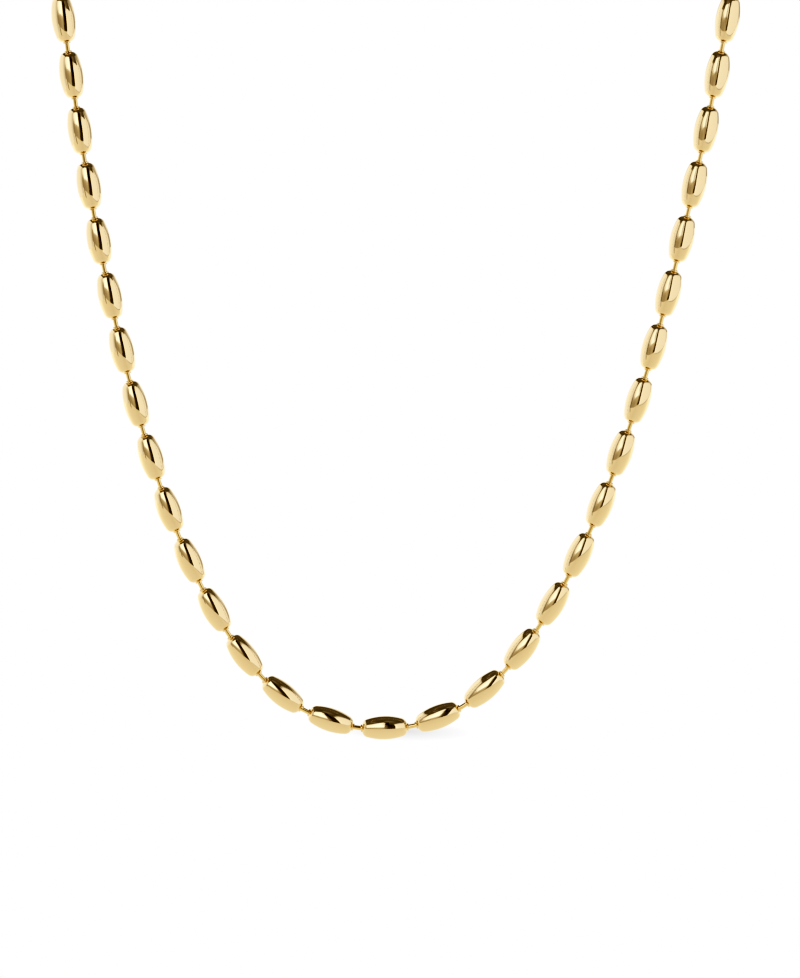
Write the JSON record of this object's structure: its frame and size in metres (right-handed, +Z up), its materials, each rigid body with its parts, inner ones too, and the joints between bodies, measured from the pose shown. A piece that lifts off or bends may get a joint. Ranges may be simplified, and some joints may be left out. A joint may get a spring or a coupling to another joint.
{
  "type": "ball chain necklace",
  "caption": "Closed necklace of slim hollow barrel beads joined by short captive bars, hanging in a deep V from a neck, with a round bolt-ring clasp at the nape.",
  "frame": {"origin": "middle of the neck opening, level with the sides of the loop, halfway between the front strands and the nape", "axes": "+Z up, +Y from the front strands towards the nape, +X to the right as seen from the front"},
  "size_m": [0.1184, 0.0627, 0.1698],
  "materials": {
    "bead_gold": "mirror-polished 18 ct yellow gold",
    "bar_gold": "polished 18 ct yellow gold, drawn wire"
  },
  "bodies": {
    "root": {"barrel_beads": "bead_gold", "bar_links": "bar_gold", "eye_link_right": "bar_gold", "eye_link_left": "bar_gold", "clasp": "bar_gold", "jump_ring": "bar_gold"}
  },
  "joints": []
}
